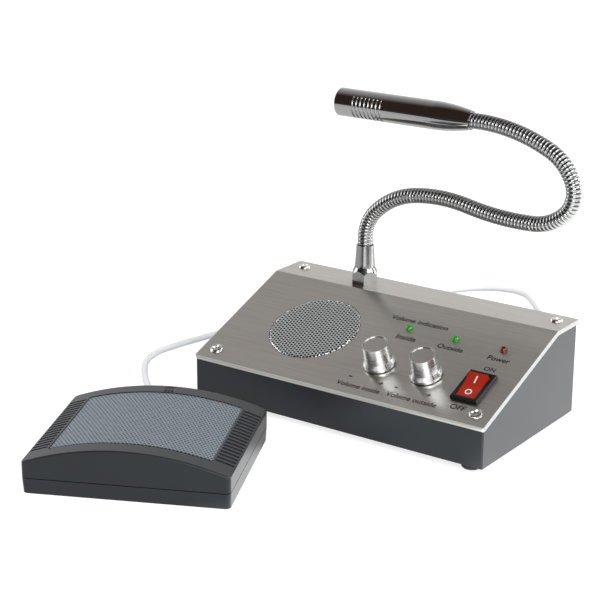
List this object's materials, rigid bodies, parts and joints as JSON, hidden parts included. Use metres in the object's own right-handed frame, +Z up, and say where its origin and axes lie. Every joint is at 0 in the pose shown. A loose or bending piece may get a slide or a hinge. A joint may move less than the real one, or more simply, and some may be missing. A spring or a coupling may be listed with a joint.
{
  "type": "teller window intercom",
  "caption": "Desk console with a sloping steel face, speaker grille, volume knobs, rocker switch and gooseneck microphone, with a wired speaker box for the other side of the window.",
  "frame": {"origin": "on the counter, under the middle of the set's box without its lead", "axes": "+X along the console's front edge to the right, +Y to the console's back, +Z up"},
  "size_m": [0.2391, 0.4027, 0.158],
  "materials": {
    "black_abs": "fine satin texture",
    "brushed_plate": "brushed along its width",
    "bright_screws": "polished",
    "zinc_screws": "zinc plated",
    "foot_rubber": "matte",
    "grille_steel": "pressed, satin",
    "gasket_foam": "soft foam",
    "speaker_basket": "black",
    "speaker_paper": "pressed paper",
    "ferrite": "dull",
    "knob_aluminium": "turned and polished",
    "knob_cap_brushed": "brushed disc",
    "shaft_aluminium": "turned",
    "pot_can": "zinc plated",
    "brass_nut": "bare",
    "green_lens": "clear green",
    "red_lens": "clear red",
    "white_nylon": "natural",
    "switch_black": "gloss",
    "rocker_red": "translucent gloss",
    "terminal_brass": "tinned",
    "board_green": "lacquered board",
    "capacitor_can": "sleeved",
    "heatsink_black": "anodised",
    "socket_black": "moulded",
    "socket_nickel": "nickel plated",
    "chrome_neck": "polished winding",
    "chrome_smooth": "mirror polished",
    "stem_brass": "threaded tube",
    "bright_lining": "fine gauze",
    "capsule_can": "pressed",
    "holder_rubber": "moulded",
    "box_black": "fine spark texture",
    "mesh_grey": "perforated, grey",
    "lead_white": "soft satin",
    "plug_black": "moulded",
    "plug_nickel": "nickel plated"
  },
  "bodies": {
    "base": {"console_tub": "black_abs", "face_plate": "brushed_plate", "face_plate_screws": "bright_screws", "rubber_feet": "foot_rubber", "inside_speaker_grille": "grille_steel", "inside_speaker_gasket": "gasket_foam", "inside_speaker_frame": "speaker_basket", "inside_speaker_cone": "speaker_paper", "inside_speaker_magnet": "ferrite", "inside_pot_body": "pot_can", "inside_pot_nut": "brass_nut", "outside_pot_body": "pot_can", "outside_pot_nut": "brass_nut", "inside_level_led": "green_lens", "outside_level_led": "green_lens", "power_led": "red_lens", "led_spacers": "white_nylon", "switch_body": "switch_black", "switch_terminals": "terminal_brass", "control_board": "board_green", "board_capacitors": "capacitor_can", "amplifier_heatsink": "heatsink_black", "lead_socket": "socket_black", "audio_socket": "socket_black", "power_socket": "socket_black", "socket_nuts": "socket_nickel", "mic_base_nut": "chrome_smooth", "mic_stem": "stem_brass", "mic_lock_nut": "pot_can", "mic_washer": "pot_can", "outside_box_shell": "box_black", "outside_box_tray": "box_black", "outside_box_mesh": "mesh_grey", "outside_speaker_frame": "speaker_basket", "outside_speaker_cone": "speaker_paper", "outside_speaker_magnet": "ferrite", "outside_box_screws": "zinc_screws", "outside_mic_capsule": "capsule_can", "lead_bush": "plug_black", "lead_plug": "plug_black", "lead_plug_pin": "plug_nickel", "speaker_lead": "lead_white"},
    "inside_knob": {"inside_volume_knob": "knob_aluminium", "inside_knob_cap": "knob_cap_brushed", "inside_pot_shaft": "shaft_aluminium"},
    "outside_knob": {"outside_volume_knob": "knob_aluminium", "outside_knob_cap": "knob_cap_brushed", "outside_pot_shaft": "shaft_aluminium"},
    "rocker": {"switch_rocker": "rocker_red"},
    "neck_base": {"neck_ferrule": "chrome_smooth", "neck_lower": "chrome_neck"},
    "neck_arm": {"neck_middle": "chrome_neck", "neck_upper": "chrome_neck"},
    "microphone": {"neck_end": "chrome_neck", "mic_tail": "chrome_smooth", "mic_body": "chrome_smooth", "mic_lining": "bright_lining", "mic_capsule": "capsule_can", "mic_capsule_holder": "holder_rubber", "mic_front_grille": "chrome_smooth"}
  },
  "joints": [
    {"name": "inside_volume_turn", "type": "hinge", "parent": "base", "child": "inside_knob", "pos_m": [0.02417, 0.04641, 0.03387], "axis": [0, 0.3578, -0.9338], "range_deg": [-270, 30]},
    {"name": "outside_volume_turn", "type": "hinge", "parent": "base", "child": "outside_knob", "pos_m": [0.05192, 0.04641, 0.03387], "axis": [0, 0.3578, -0.9338], "range_deg": [-270, 30]},
    {"name": "power_rocker", "type": "hinge", "parent": "base", "child": "rocker", "pos_m": [0.07967, 0.04661, 0.03074], "axis": [-1, 0, 0], "range_deg": [0, 20]},
    {"name": "neck_turn", "type": "hinge", "parent": "base", "child": "neck_base", "pos_m": [-0.02513, 0.10704, 0.0698], "axis": [0, 0, 1], "range_deg": [-170, 170]},
    {"name": "neck_bend", "type": "hinge", "parent": "neck_base", "child": "neck_arm", "pos_m": [-0.01505, 0.10704, 0.09673], "axis": [0, 1, 0], "range_deg": [-45, 20], "deforming": ["neck_lower"]},
    {"name": "mic_tilt", "type": "hinge", "parent": "neck_arm", "child": "microphone", "pos_m": [0.0974, 0.10704, 0.11799], "axis": [0, 1, 0], "range_deg": [-12, 60], "deforming": ["neck_upper"]}
  ]
}
